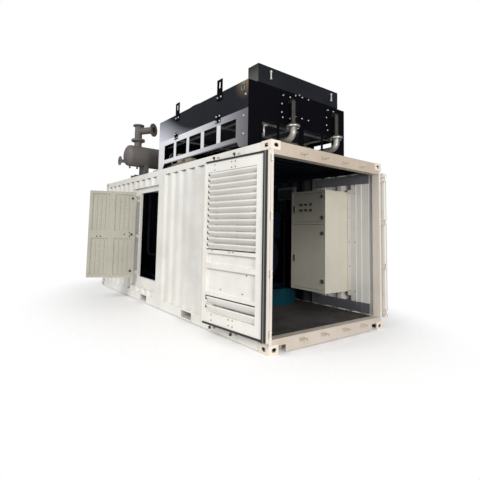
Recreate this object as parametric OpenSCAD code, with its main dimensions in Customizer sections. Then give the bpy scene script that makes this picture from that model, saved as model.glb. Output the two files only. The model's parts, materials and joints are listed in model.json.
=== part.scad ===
// Containerised generating set in a 20 ft steel box, with a cooler and a
// silencer on its roof. +X is the end with the double doors, -Y is the side
// with the walk-in door, +Z is up. The origin is the centre of the four
// ground slots of the corner castings, at the level the box stands on.

/* [Box] */
// Length over the corner castings
box_l = 6058; // [5800:1:6300]
// Width over the corner castings
box_w = 2438; // [2400:1:2500]
// Height over the corner castings
box_h = 2591; // [2560:1:2700]
// Length of a corner casting
casting_l = 178; // [170:1:190]
// Width of a corner casting
casting_w = 162; // [155:1:170]
// Height of a corner casting
casting_h = 118; // [112:1:124]
// Distance of the rails' and walls' outer faces inside the castings' faces
wall_inset = 6; // [4:1:10]
// Sheet thickness of the walls and the roof
sheet_t = 3; // [2:0.5:5]
// Height of the bottom rails' top edge
rail_top = 170; // [160:1:180]
// Thickness of the floor boards
floor_t = 28; // [20:1:32]

/* [Corrugation] */
// Pitch of the wall corrugation
wave_pitch = 278; // [260:1:300]
// Depth of the wall corrugation
wave_depth = 36; // [25:1:45]
// Width of a valley's flat bottom
wave_flat = 70; // [60:1:90]
// Width of each sloping flank
wave_slope = 68; // [50:1:75]

/* [Fork pockets] */
// Distance of the first pocket from the middle, towards the blind end
pocket_back = 535; // [500:1:600]
// Distance of the second pocket from the middle, towards the door end
pocket_front = 1130; // [1050:1:1200]
// Width of a fork pocket
pocket_w = 310; // [280:1:360]
// Height of a fork pocket
pocket_h = 110; // [90:1:115]

/* [End doors] */
// Width of one end door leaf
door_w = 1208; // [1190:1:1210]
// Height of the end door leaves' lower edge
door_low = 165; // [150:1:175]
// Height of the end door leaves' upper edge
door_high = 2442; // [2430:1:2470]
// Thickness of an end door leaf
door_t = 45; // [40:1:50]
// Angle by which the end doors stand open
door_open = 264.7; // [200:0.1:265]
// Slats in the upper louvre bank
slats_high = 13; // [10:1:14]
// Slats in the lower louvre bank
slats_low = 2; // [2:1:3]

/* [Side door] */
// Left edge of the recess that holds the side door's frame
recess_x0 = -1215; // [-1240:1:-1190]
// Right edge of that recess
recess_x1 = -5; // [-20:1:10]
// Lower edge of that recess
recess_z0 = 262; // [250:1:280]
// Upper edge of that recess
recess_z1 = 2310; // [2300:1:2330]
// Width of the side door leaf
leaf_w = 940; // [930:1:945]
// Thickness of the side door leaf
leaf_t = 40; // [35:1:45]
// Angle by which the side door stands open
leaf_open = 114.9; // [90:0.1:120]

/* [Switch cabinet] */
// Width of the switch cabinet
cab_w = 720; // [650:1:760]
// Depth of the switch cabinet
cab_d = 600; // [500:1:640]
// Height of the switch cabinet
cab_h = 1670; // [1600:1:1700]
// Height of the cabinet's underside
cab_z = 494; // [450:1:520]
// Door end face of the cabinet
cab_x1 = 2465; // [2400:1:2500]

/* [Machine] */
// Door end of the base skid
skid_x1 = 1600; // [1550:1:1650]
// Length of the base skid
skid_l = 4100; // [3900:1:4200]
// Width of the base skid
skid_w = 1620; // [1500:1:1640]
// Height of the base skid
skid_h = 285; // [250:1:320]
// Radius of the alternator's housing
alt_r = 500; // [450:1:540]
// Length of the alternator's housing
alt_l = 1150; // [1000:1:1250]

/* [Roof cooler] */
// Door end face of the cooler
cool_x1 = 2436; // [2400:1:2460]
// Length of the cooler
cool_l = 2730; // [2600:1:2760]
// Width of the cooler
cool_w = 2198; // [2150:1:2240]
// Height of the cooler's feet above the ground
cool_z0 = 2600; // [2596:1:2620]
// Height of the seam between the cooler's base and its casing
cool_seam = 3183; // [3160:1:3200]
// Height of the cooler's top edge
cool_top = 3592; // [3560:1:3620]
// Radius of the fan's opening
fan_r = 900; // [820:1:920]
// Blades of the fan
fan_blades = 8; // [5:1:10]

/* [Silencer] */
// Distance of the silencer from the middle, towards the blind end
sil_x = 1330; // [1300:1:1500]
// Height of the silencer's axis
sil_z = 3065; // [3040:1:3100]
// Radius of the silencer's shell
sil_r = 232; // [200:1:240]
// Overall length of the silencer over its dished ends
sil_l = 2834; // [2700:1:2900]

/* [Hidden] */

eps = 0.01;
hl = box_l / 2;
hw = box_w / 2;
wall_y = hw - wall_inset;
end_x = hl - wall_inset;
wave_half = wave_flat / 2 + wave_slope;
post_w = 47;
post_l = 117;
front_post = 100;
top_rail_z = box_h - casting_h;
roof_z = box_h - wall_inset;
slot_l = 124;
slot_w = 63.5;
slot_dx = 5853;
slot_dy = 2259;
casting_wall = 16;
casting_plate = 28;
rail_t = 48;
pocket_z = 35;
sill_h = rail_top + 12;
header_z = 2415;
door_gap = 18;
door_axis_x = hl - wall_inset + door_gap + door_t;
door_axis_y = hw + 30;
door_edge = 30;
hinge_zs = [264, 963, 1655, 2350];
rod_ss = [567, 986];
pin_r = 9;
pin_play = 0.5;
steel_white = [0.90, 0.90, 0.88];
steel_cream = [0.88, 0.83, 0.78];
rubber_black = [0.07, 0.07, 0.07];
steel_black = [0.10, 0.11, 0.14];
zinc_grey = [0.62, 0.63, 0.62];
taupe = [0.40, 0.38, 0.37];

module bar(x, y, z) {
    translate([x[0], y[0], z[0]]) cube([x[1] - x[0], y[1] - y[0], z[1] - z[0]]);
}

module both_sides() {
    children();
    mirror([0, 1, 0]) children();
}

module both_ends() {
    children();
    mirror([1, 0, 0]) children();
}

// Corrugated sheet between two x values, its crests at y = 0 and its valleys
// inwards at +y; valleys lie a whole number of pitches from v0
function wave_valleys(x0, x1, v0, pitch, half) = [
    for (n = [-30:30]) let (v = v0 + n * pitch) if (v - half > x0 + 8 && v + half < x1 - 8) v];

function wave_line(x0, x1, vs, depth, flat, half, shift) = concat([[x0, shift]],
    [for (v = vs, k = [[-half, 0], [-flat / 2, depth], [flat / 2, depth], [half, 0]])
        [v + k[0], k[1] + shift]], [[x1, shift]]);

function reversed(list) = [for (i = [len(list) - 1:-1:0]) list[i]];

module wave_profile(x0, x1, v0, pitch, depth, flat, half) {
    vs = wave_valleys(x0, x1, v0, pitch, half);
    polygon(concat(wave_line(x0, x1, vs, depth, flat, half, 0),
        reversed(wave_line(x0, x1, vs, depth, flat, half, sheet_t))));
}

module wall_sheet(x, z) {
    translate([0, -wall_y, z[0]]) linear_extrude(height = z[1] - z[0])
        wave_profile(x[0], x[1], 60, wave_pitch, wave_depth, wave_flat, wave_half);
}

// Stadium slot in the XY plane, round ends, length along X
module stadium(l, w) {
    union() {
        square([l - w, w], center = true);
        for (s = [-1, 1]) translate([s * (l - w) / 2, 0]) circle(d = w, $fn = 32);
    }
}

// Hollow corner casting in the +X +Y corner, its slotted plate at z = 0
module casting() {
    x = [hl - casting_l, hl];
    y = [hw - casting_w, hw];
    difference() {
        bar(x, y, [0, casting_h]);
        bar([x[0] + casting_wall, x[1] - casting_wall], [y[0] + casting_wall, y[1] - casting_wall],
            [casting_plate, casting_h - casting_wall]);
        translate([slot_dx / 2, slot_dy / 2, -1]) linear_extrude(height = casting_plate + 2)
            stadium(slot_l, slot_w);
        translate([slot_dx / 2 + 13, hw - casting_wall - 1, casting_h / 2]) rotate([-90, 0, 0])
            linear_extrude(height = casting_wall + 2) rotate(0) stadium(79, 51);
        translate([hl - casting_wall - 1, slot_dy / 2, casting_h / 2]) rotate([90, 0, 90])
            linear_extrude(height = casting_wall + 2) stadium(79, 51);
    }
}

module ground_castings() {
    color(steel_cream) both_ends() both_sides() casting();
}

module roof_castings() {
    color(steel_cream) both_ends() both_sides()
        translate([0, 0, box_h]) mirror([0, 0, 1]) casting();
}

module tube_post(x, y, t) {
    difference() {
        bar(x, y, [casting_h, box_h - casting_h]);
        bar([x[0] + t, x[1] - t], [y[0] + t, y[1] - t], [casting_h - 1, box_h - casting_h + 1]);
    }
}

module corner_posts() {
    color(steel_cream) both_sides() {
        tube_post([end_x - post_l, end_x], [wall_y - post_w, wall_y], 8);
        tube_post([-end_x, -end_x + front_post], [wall_y - front_post, wall_y], 8);
    }
}

// Ears and pin of one end door hinge on the -Y post
ear_t = 15;
ear_gap = 54;
module post_hinge() {
    for (s = [0, 1]) translate([0, 0, s * (ear_gap / 2) - (1 - s) * (ear_gap / 2 + ear_t)])
        linear_extrude(height = ear_t) union() {
            translate([door_axis_x, -door_axis_y]) circle(r = 16, $fn = 40);
            translate([end_x - 76, -door_axis_y + 5]) square([door_axis_x - end_x + 76, 19]);
            translate([end_x - 76, -door_axis_y + 10]) square([70, door_axis_y - wall_y - 10]);
        }
    translate([door_axis_x, -door_axis_y, -ear_gap / 2 - 1])
        cylinder(r = pin_r, h = ear_gap + 2, $fn = 40);
}

module post_hinges() {
    color(steel_cream) both_sides() for (z = hinge_zs) translate([0, 0, z]) post_hinge();
}

// A bottom rail lies in three lengths between the castings and the fork tunnels
pocket_t = 8;
module bottom_rail() {
    half = pocket_w / 2 + pocket_t;
    for (x = [[-hl + casting_l, -pocket_back - half], [-pocket_back + half, pocket_front - half],
        [pocket_front + half, hl - casting_l]])
        bar(x, [-wall_y, -wall_y + rail_t], [12, rail_top]);
}

module near_bottom_rail() {
    color(steel_white) bottom_rail();
}

module far_bottom_rail() {
    color(steel_white) mirror([0, 1, 0]) bottom_rail();
}

module fork_tunnels() {
    half = pocket_w / 2;
    color(steel_white) for (x = [-pocket_back, pocket_front]) {
        difference() {
            bar([x - half - pocket_t, x + half + pocket_t], [-wall_y, wall_y], [12, rail_top - floor_t]);
            bar([x - half, x + half], [-wall_y - 1, wall_y + 1], [pocket_z, rail_top]);
        }
        both_sides() bar([x - half - pocket_t, x + half + pocket_t], [wall_y - rail_t, wall_y],
            [pocket_z + pocket_h, rail_top]);
    }
}

function clear_of_pockets(x) = min([for (p = [-pocket_back, pocket_front]) abs(x - p)])
    > pocket_w / 2 + pocket_t + 50;

module crossmembers() {
    y = wall_y - rail_t;
    top = rail_top - floor_t;
    color(steel_cream) for (n = [-9:9]) let (x = n * 295 + 30)
        if (clear_of_pockets(x)) translate([x, y, 0]) rotate([90, 0, 0])
            linear_extrude(height = 2 * y)
                polygon([[0, 20], [45, 20], [45, 25], [5, 25], [5, top - 5], [45, top - 5],
                    [45, top], [0, top]]);
}

module blind_end_sill() {
    color(steel_white) bar([-end_x, -end_x + 50], [-hw + casting_w, hw - casting_w], [12, rail_top]);
}

// Sill under the end doors, with its foot cut away beside the castings and
// four keepers for the lock rods
keeper_gap = 50;
keeper_d = door_gap + door_t + 30;
module keeper(y, z) {
    for (s = [-1, 1]) bar([end_x, end_x + keeper_d], [y + s * (keeper_gap / 2 + 5) - 5, y + s * (keeper_gap / 2 + 5) + 5],
        [z - 14, z + 14]);
}

module keepers(z) {
    for (s = rod_ss) both_sides() keeper(door_axis_y - door_edge - s, z);
}

keeper_low = 128;
keeper_high = 2486;
module door_sill() {
    y = hw - casting_w;
    color(steel_cream) union() {
        difference() {
            bar([end_x - 110, end_x], [-y, y], [12, sill_h]);
            bar([end_x - 104, end_x - 8], [-y + 8, y - 8], [-1, sill_h - 8]);
            both_sides() bar([end_x - 120, end_x + 1], [y - 130, y + 1], [0, 100]);
        }
        both_sides() bar([end_x - 110, end_x], [y, wall_y - post_w], [casting_h, sill_h]);
        keepers(keeper_low);
    }
}

module floor() {
    z = [rail_top - floor_t, rail_top];
    color([0.24, 0.20, 0.19]) difference() {
        bar([-end_x + 50, end_x - 110], [-wall_y + rail_t, wall_y - rail_t], z);
        both_sides() bar([-end_x, -end_x + front_post], [wall_y - front_post, wall_y], [z[0] - 1, z[1] + 1]);
    }
}

module top_rails() {
    color(steel_white) {
        both_sides() difference() {
            bar([-hl + casting_l, hl - casting_l], [wall_y - 60, wall_y], [top_rail_z, roof_z]);
            bar([-hl, hl], [wall_y - 54, wall_y - 6], [top_rail_z + 6, roof_z - 6]);
        }
        bar([-end_x, -end_x + 60], [-hw + casting_w, hw - casting_w], [top_rail_z, roof_z]);
    }
}

module door_header() {
    y = hw - casting_w;
    color(steel_cream) union() {
        difference() {
            bar([end_x - 110, end_x], [-y, y], [header_z, roof_z]);
            bar([end_x - 102, end_x - 8], [-y - 1, y + 1], [header_z + 8, roof_z - 8]);
        }
        both_sides() bar([end_x - 110, end_x], [y, wall_y - post_w], [header_z, box_h - casting_h]);
        keepers(keeper_high);
    }
}

wall_x0 = -end_x + front_post;
wall_x1 = end_x - post_l;
module near_wall_blind_end() {
    color(steel_white) wall_sheet([wall_x0, recess_x0], [rail_top, top_rail_z]);
}

module near_wall_door_end() {
    color(steel_white) wall_sheet([recess_x1, wall_x1], [rail_top, top_rail_z]);
}

module near_wall_lintel() {
    color(steel_white) {
        wall_sheet([recess_x0, recess_x1], [recess_z1, top_rail_z]);
        wall_sheet([recess_x0, recess_x1], [rail_top, recess_z0]);
    }
}

module far_wall() {
    color(steel_white) mirror([0, 1, 0]) wall_sheet([wall_x0, wall_x1], [rail_top, top_rail_z]);
}

module blind_end_wall() {
    y = wall_y - front_post;
    color(steel_white) translate([-end_x, 0, rail_top]) rotate([0, 0, -90])
        linear_extrude(height = top_rail_z - rail_top)
            wave_profile(-y, y, 0, 250, 45, 105, 104);
}

roof_crest = roof_z - 8;
roof_wave = 20;
roof_pitch = 209;
roof_v0 = -sil_x;
module roof_sheet() {
    x = end_x - 110;
    y = wall_y - 60;
    color(steel_white) difference() {
        translate([0, y, roof_crest]) rotate([90, 0, 0]) linear_extrude(height = 2 * y) mirror([0, 1])
            wave_profile(-end_x + 60, x, roof_v0, roof_pitch, roof_wave, 90, 75);
        both_ends() both_sides() bar([hl - casting_l, hl], [hw - casting_w, hw], [top_rail_z, box_h]);
    }
}

// Frame of the side door, set back into the wall, with the returns that
// close the cut ends of the corrugated sheet
frame_face = 1165;
frame_d = 50;
open_x0 = -930;
open_x1 = -70;
open_z0 = 460;
open_z1 = 2200;
leaf_axis_x = -990;
leaf_axis_y = 1222;
leaf_edge = 20;
leaf_z0 = 433;
leaf_z1 = 2220;
leaf_hinge_zs = [572, 1326, 2085];
module side_door_frame() {
    color(steel_white) union() {
        difference() {
            bar([recess_x0, recess_x1], [-wall_y, -frame_face + frame_d], [recess_z0, recess_z1]);
            bar([recess_x0 + 4, recess_x1 - 4], [-wall_y - 1, -frame_face],
                [recess_z0 + 4, recess_z1 - 4]);
            bar([open_x0, open_x1], [-frame_face - 1, -frame_face + frame_d + 1], [open_z0, open_z1]);
        }
        for (z = [380, 2255]) bar([-300, -240], [-frame_face - 14, -frame_face], [z - 12, z + 12]);
        for (z = leaf_hinge_zs) side_hinge_fixed(z);
    }
}

side_pin_r = 7;
module side_hinge_fixed(z) {
    translate([0, 0, z - 60]) linear_extrude(height = 58) difference() {
        union() {
            translate([leaf_axis_x, -leaf_axis_y]) circle(r = 14, $fn = 36);
            translate([leaf_axis_x - 14, -leaf_axis_y]) square([10, leaf_axis_y - frame_face]);
        }
    }
    translate([leaf_axis_x, -leaf_axis_y, z - 3]) cylinder(r = side_pin_r, h = 50, $fn = 36);
}

// Everything below is drawn closed in the frame's own axes and then swung
// open about its hinge line
module swing(axis, angle) {
    translate([axis[0], axis[1], 0]) rotate([0, 0, angle]) children();
}

module leaf_body() {
    y = [leaf_axis_y - frame_face - 5 - leaf_t, leaf_axis_y - frame_face - 5];
    x = [leaf_edge, leaf_edge + leaf_w];
    rail = 60;
    difference() {
        bar(x, y, [leaf_z0, leaf_z1]);
        for (p = [[x[0] + rail, leaf_edge + 425], [leaf_edge + 540, x[1] - rail]],
            q = [[leaf_z0 + rail, 1240], [1400, leaf_z1 - rail]])
            bar(p, [y[1] - 14, y[1] + 1], q);
    }
    for (p = [[x[0] + rail, leaf_edge + 425], [leaf_edge + 540, x[1] - rail]],
        q = [[leaf_z0 + rail, 1240], [1400, leaf_z1 - rail]], k = [0.25, 0.5, 0.75])
        bar([p[0] + (p[1] - p[0]) * k - 12, p[0] + (p[1] - p[0]) * k + 12], [y[1] - 14 - eps, y[1] - 6],
            [q[0] + 40, q[1] - 40]);
    for (z = leaf_hinge_zs) translate([0, 0, z + 0]) linear_extrude(height = 56) difference() {
        union() {
            circle(r = 14, $fn = 36);
            translate([0, 4]) square([leaf_edge + 30, 10]);
        }
        circle(r = side_pin_r + pin_play, $fn = 36);
    }
}

module side_door_leaf() {
    color([0.80, 0.82, 0.76]) swing([leaf_axis_x, -leaf_axis_y], -leaf_open) leaf_body();
}

// End door, drawn closed with its hinge line at the origin: y runs away from
// the hinge, the inner face is at x = -door_t
bank_s = [180, 1115];
bank_high = [1200, 2275];
bank_low = [325, 550];
module end_door_leaf() {
    difference() {
        bar([-door_t, 0], [door_edge, door_edge + door_w], [door_low, door_high]);
        for (b = [bank_high, bank_low])
            bar([-door_t - 1, 1], [door_edge + bank_s[0], door_edge + bank_s[1]], b);
        bar([-door_t - 1, -8], [door_edge + bank_s[0], door_edge + bank_s[1]], [610, 1140]);
    }
    bar([-door_t, -8 + eps], [door_edge + bank_s[0], door_edge + bank_s[1]], [930, 1000]);
    for (z = hinge_zs) end_hinge_blade(z);
}

module end_hinge_blade(z) {
    translate([0, 0, z - ear_gap / 2 + 2]) linear_extrude(height = ear_gap - 4) difference() {
        union() {
            circle(r = 15, $fn = 40);
            translate([0, 0]) square([8, 200]);
        }
        circle(r = pin_r + pin_play, $fn = 40);
    }
}

slat_t = 3;
module louvre_bank(z, n) {
    pitch = (z[1] - z[0]) / n;
    y = [door_edge + bank_s[0], door_edge + bank_s[1]];
    for (k = [0:n - 1]) translate([0, y[1], z[0] + k * pitch]) rotate([90, 0, 0])
        linear_extrude(height = y[1] - y[0])
            polygon([[-door_t + 3, pitch - 6], [-door_t + 3, pitch - 26], [-3, 4], [-3, 4 + slat_t * 2],
                [-door_t + 3 + slat_t, pitch - 24], [-door_t + 3 + slat_t, pitch - 6]]);
}

module end_door_louvres() {
    louvre_bank(bank_high, slats_high);
    louvre_bank(bank_low, slats_low);
}

// Rubber seal round the inner face of an end door
seal_t = 12;
module end_door_seal() {
    difference() {
        bar([-door_t - seal_t, -door_t], [door_edge + 4, door_edge + door_w - 4],
            [door_low + 4, door_high - 4]);
        bar([-door_t - seal_t - 1, -door_t + 1], [door_edge + 28, door_edge + door_w - 28],
            [door_low + 28, door_high - 28]);
    }
}

// Two lock rods on the outer face with a cam at each end
module end_lock_rods() {
    for (s = rod_ss) translate([19, door_edge + s, 0]) {
        translate([0, 0, keeper_low - 10]) cylinder(r = 11, h = keeper_high - keeper_low + 20, $fn = 24);
        for (z = [keeper_low, keeper_high]) bar([-12, 14], [-14, 14], [z - 9, z + 9]);
        for (z = [door_low + 60, 1090, 1180, door_high - 60]) bar([-19, 15], [-22, 22], [z - 20, z + 20]);
    }
}

module near_swing() {
    swing([door_axis_x, -door_axis_y], -door_open) children();
}

module far_swing() {
    mirror([0, 1, 0]) near_swing() children();
}

module near_end_door() {
    color(steel_white) near_swing() end_door_leaf();
}

module near_door_louvres() {
    color(steel_white) near_swing() end_door_louvres();
}

module near_door_seal() {
    color(rubber_black) near_swing() end_door_seal();
}

module near_lock_rods() {
    color(zinc_grey) near_swing() end_lock_rods();
}

module far_end_door() {
    color(steel_white) far_swing() end_door_leaf();
}

module far_door_louvres() {
    color(steel_white) far_swing() end_door_louvres();
}

module far_door_seal() {
    color(rubber_black) far_swing() end_door_seal();
}

module far_lock_rods() {
    color(zinc_grey) far_swing() end_lock_rods();
}

// Switch cabinet on the far wall: a case whose front frame takes two flush
// doors, hung on the side next to the open end
cab_y1 = 1150;
cab_wall = 3;
cab_frame = 40;
cab_door_t = 18;
cab_door_gap = 5;
cab_x0 = cab_x1 - cab_w;
cab_y0 = cab_y1 - cab_d;
cab_split = cab_z + 1128;
cab_lower = [cab_z + cab_frame, cab_split - cab_frame / 2];
cab_upper = [cab_split + cab_frame / 2, cab_z + cab_h - cab_frame];
cab_axis_x = cab_x1 - cab_frame;
cab_axis_y = cab_y0 - 9;
cab_pin_r = 4;
cab_hinge_h = 28;
cab_cream = [0.90, 0.88, 0.83];

function hinge_heights(z) = [z[0] + 0.14 * (z[1] - z[0]), z[1] - 0.14 * (z[1] - z[0])];

module cabinet_case() {
    color(cab_cream) union() {
        difference() {
            bar([cab_x0, cab_x1], [cab_y0, cab_y1], [cab_z, cab_z + cab_h]);
            for (z = [[cab_z + cab_wall, cab_split - cab_wall], [cab_split + cab_wall, cab_z + cab_h - cab_wall]])
                bar([cab_x0 + cab_wall, cab_x1 - cab_wall], [cab_y0 + cab_door_t, cab_y1 - cab_wall], z);
            for (z = [cab_lower, cab_upper])
                bar([cab_x0 + cab_frame, cab_x1 - cab_frame], [cab_y0 - 1, cab_y0 + cab_door_t + 1], z);
        }
        for (z = concat(hinge_heights(cab_lower), hinge_heights(cab_upper))) translate([cab_axis_x, 0, z]) {
            translate([0, cab_axis_y, -cab_hinge_h - 1]) cylinder(r = 8, h = cab_hinge_h, $fn = 32);
            bar([0, 22], [cab_axis_y - 2, cab_y0], [-cab_hinge_h - 1, -1]);
            translate([0, cab_axis_y, -2]) cylinder(r = cab_pin_r, h = cab_hinge_h, $fn = 24);
        }
    }
}

strip_valley = 60 + 9 * wave_pitch;
module cabinet_brackets() {
    wall = wall_y - wave_depth - sheet_t;
    z = [cab_z - 60, cab_z + cab_h + 40];
    color(steel_white) union() {
        for (h = [cab_z + 150, cab_z + cab_h - 210])
            bar([cab_x0 + 100, strip_valley + 40], [cab_y1, wall], [h, h + 60]);
        bar([cab_x1 + 5, strip_valley - 5], [cab_y1 - 10, wall], z);
        bar([strip_valley + 15, strip_valley + 95], [cab_y1 + 4, wall], [z[0] - 30, z[1] + 20]);
    }
}

module cabinet_door(z) {
    g = cab_door_gap;
    x = [cab_x0 + cab_frame + g, cab_x1 - cab_frame - g];
    handle_z = z[0] + 0.45 * (z[1] - z[0]);
    union() {
        bar(x, [cab_y0, cab_y0 + cab_door_t], [z[0] + g, z[1] - g]);
        for (h = hinge_heights(z)) translate([cab_axis_x, cab_axis_y, h + 1]) {
            linear_extrude(height = cab_hinge_h) difference() {
                union() {
                    circle(r = 8, $fn = 32);
                    translate([-26, -2]) square([26, 10]);
                }
                circle(r = cab_pin_r + pin_play, $fn = 24);
            }
            translate([-26, 7, 0]) cube([16, 3, cab_hinge_h]);
        }
        bar([x[0] + 22, x[0] + 40], [cab_y0 - 14, cab_y0], [handle_z - 55, handle_z + 55]);
    }
}

module cabinet_upper_door() {
    color(cab_cream) cabinet_door(cab_upper);
}

module cabinet_lower_door() {
    color(cab_cream) cabinet_door(cab_lower);
}

module cabinet_buttons() {
    color(rubber_black) for (x = [225, 330, 435], z = [1345, 1442])
        translate([cab_x0 + x, cab_y0, cab_z + z]) rotate([90, 0, 0]) cylinder(r = 16, h = 22, $fn = 24);
}

// Generating set on its skid
skid_x0 = skid_x1 - skid_l;
module skid() {
    z = [rail_top, rail_top + skid_h];
    y = skid_w / 2;
    color([0.20, 0.48, 0.55]) difference() {
        bar([skid_x0, skid_x1], [-y, y], z);
        bar([skid_x0 + 12, skid_x1 - 12], [-y + 160, y - 160], [z[0] - 1, z[1] + 1]);
        both_sides() bar([skid_x0 - 1, skid_x1 - 12], [y - 70, y + 1], [z[0] + 16, z[1] - 16]);
        both_sides() bar([skid_x0 + 12, skid_x1 - 12], [y - 161, y - 90], [z[0] + 16, z[1] - 16]);
    }
}

alt_x1 = skid_x1 - 120;
alt_x0 = alt_x1 - alt_l;
alt_z = rail_top + skid_h + alt_r + 40;
skid_top = rail_top + skid_h;
machine_blue = [0.10, 0.18, 0.30];
module alternator() {
    color(machine_blue) {
        difference() {
            union() {
                translate([alt_x0, 0, alt_z]) rotate([0, 90, 0]) cylinder(r = alt_r, h = alt_l, $fn = 64);
                both_sides() bar([alt_x0 + 120, alt_x1 - 120], [alt_r - 60, skid_w / 2 - 30],
                    [skid_top, skid_top + 60]);
                both_sides() bar([alt_x0 + 120, alt_x1 - 120], [alt_r * 0.55, alt_r - 40],
                    [skid_top, alt_z - alt_r * 0.4]);
                bar([alt_x0 + 200, alt_x1 - 150], [-330, 700], [alt_z + alt_r * 0.7, alt_z + alt_r + 330]);
            }
        }
    }
}

engine_hw = 330;
module engine() {
    x0 = skid_x0 + 250;
    x1 = alt_x0;
    color([0.55, 0.55, 0.52]) union() {
        bar([x0 + 60, x1 - 220], [-engine_hw, engine_hw], [skid_top, skid_top + 620]);
        translate([x1 - 220, 0, alt_z]) rotate([0, 90, 0]) cylinder(r = alt_r * 0.92, h = 220, $fn = 64);
        both_sides() translate([x0 + 120, 230, skid_top + 560]) rotate([-35, 0, 0])
            bar([0, x1 - x0 - 420], [-150, 150], [0, 380]);
        bar([x0 + 200, x1 - 420], [-160, 160], [skid_top + 600, skid_top + 1000]);
    }
}

riser_y = 775;
riser_z = 980;
riser_r = 28;
riser_bend = 110;
module riser_pipe() {
    color(zinc_grey) translate([-sil_x, -riser_y, 0]) {
        translate([0, 0, riser_z]) cylinder(r = riser_r, h = roof_crest - roof_wave - sheet_t - riser_z, $fn = 24);
        translate([0, riser_bend, riser_z]) rotate([90, 0, -90])
            rotate_extrude(angle = -90, $fn = 48) translate([riser_bend, 0]) circle(r = riser_r, $fn = 24);
        translate([0, riser_bend, riser_z - riser_bend]) rotate([-90, 0, 0])
            cylinder(r = riser_r, h = riser_y - riser_bend - engine_hw, $fn = 24);
    }
}

// Cooler on the roof
cool_x0 = cool_x1 - cool_l;
cy = cool_w / 2;
win_z = [2797, 3077];
rail_low = 2730;
side_t = 6;
side_posts = [[-290, -58], [325, 404], [786, 868], [1247, 1335], [1697, 1792], [2178, 2436]];
module cooler_side() {
    translate([0, -cy + side_t, 0]) rotate([90, 0, 0]) linear_extrude(height = side_t)
        difference() {
            translate([cool_x0, cool_z0]) square([cool_l, cool_top - cool_z0]);
            for (i = [0:4]) translate([side_posts[i][1], win_z[0]])
                square([side_posts[i + 1][0] - side_posts[i][1], win_z[1] - win_z[0]]);
            polygon([[cool_x0 + 153, cool_z0 - 1], [cool_x0 + 246, rail_low], [cool_x1 - 239, rail_low],
                [cool_x1 - 147, cool_z0 - 1]]);
        }
    bar([cool_x0 + side_t, cool_x1 - side_t], [-cy + side_t, -cy + 50], [cool_seam - 20, cool_seam - 12]);
    bar([cool_x0 + side_t, cool_x1 - side_t], [-cy + side_t, -cy + 50], [cool_top - 8, cool_top]);
    bar([cool_x0 + 160, cool_x1 - 160], [-cy + side_t, -cy + 50], [rail_low + 2, rail_low + 10]);
}

module cooler_near_side() {
    color(steel_black) cooler_side();
}

module cooler_far_side() {
    color(steel_black) mirror([0, 1, 0]) cooler_side();
}

end_posts = [[-cy, -827], [-530, -478], [-60, 60], [478, 530], [827, cy]];
module cooler_end(x) {
    y = cy - side_t;
    translate([x, 0, 0]) rotate([90, 0, 90]) linear_extrude(height = side_t) difference() {
        translate([-y, cool_z0]) square([2 * y, cool_top - cool_z0]);
        for (i = [0:3]) translate([end_posts[i][1], win_z[0]])
            square([end_posts[i + 1][0] - end_posts[i][1], win_z[1] - win_z[0]]);
        translate([-827, cool_z0 - 1]) square([1654, rail_low - cool_z0 + 1]);
    }
}

module cooler_ends() {
    color(steel_black) {
        cooler_end(cool_x1 - side_t);
        cooler_end(cool_x0);
    }
}

foot_h = cool_z0 - roof_z;
module cooler_feet() {
    color(steel_black) both_sides() for (x = [cool_x0, cool_x1 - 147])
        bar([x, x + 147], [-wall_y + 5, -cy + 60], [roof_z, cool_z0]);
}

core_z = [cool_seam - 12, 3420];
module cooler_core() {
    color([0.22, 0.23, 0.24]) bar([cool_x0 + 60, cool_x1 - 60], [-cy + side_t + 4, cy - side_t - 4], core_z);
}

fan_x = cool_x0 + 980;
cowl_top = 3735;
module cooler_deck() {
    color(steel_black) union() {
        difference() {
            bar([cool_x0 + side_t, cool_x1 - side_t], [-cy + side_t, cy - side_t],
                [cool_top - 14, cool_top - 8]);
            translate([fan_x, 0, cool_top - 60]) cylinder(r = fan_r, h = 100, $fn = 96);
        }
        translate([fan_x, 0, 0]) {
            for (a = [0, 90]) rotate([0, 0, a]) bar([-fan_r - 2, fan_r + 2], [-30, 30],
                [cool_top - 60, cool_top - 40]);
            translate([0, 0, cool_top - 150]) cylinder(r = 120, h = 190, $fn = 48);
        }
        translate([fan_x, 0, 0]) difference() {
            translate([0, 0, cool_top - 60]) cylinder(r = fan_r + 6, h = cowl_top - cool_top + 60, $fn = 96);
            translate([0, 0, cool_top - 61]) cylinder(r = fan_r, h = cowl_top - cool_top + 62, $fn = 96);
        }
    }
}

module cooler_fan() {
    color(steel_black) translate([fan_x, 0, cool_top + 40]) {
        cylinder(r = 130, h = 60, $fn = 48);
        for (k = [0:fan_blades - 1]) rotate([0, 0, k * 360 / fan_blades]) translate([124, 0, 30])
            rotate([24, 0, 0]) bar([0, fan_r - 144], [-70, 70], [-3, 3]);
    }
}

lug_xs = [440, 1765];
module cooler_lugs() {
    color(steel_black) both_sides() for (x = lug_xs) translate([x, -cy, 3470]) rotate([90, 0, 0])
        linear_extrude(height = 14) difference() {
            translate([-65, 0]) square([130, 330]);
            translate([0, 240]) rotate(90) stadium(110, 46);
        }
}

tank_x0 = 2213;
tank_hy = 915;
tank_top = 3875;
module header_tank() {
    color(steel_black) bar([tank_x0, cool_x1], [-tank_hy, tank_hy], [cool_top + 8, tank_top]);
    color(steel_black) both_sides() bar([tank_x0 + 30, cool_x1 - 30], [tank_hy - 200, tank_hy - 120],
        [cool_top - 8, cool_top + 8]);
}

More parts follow.
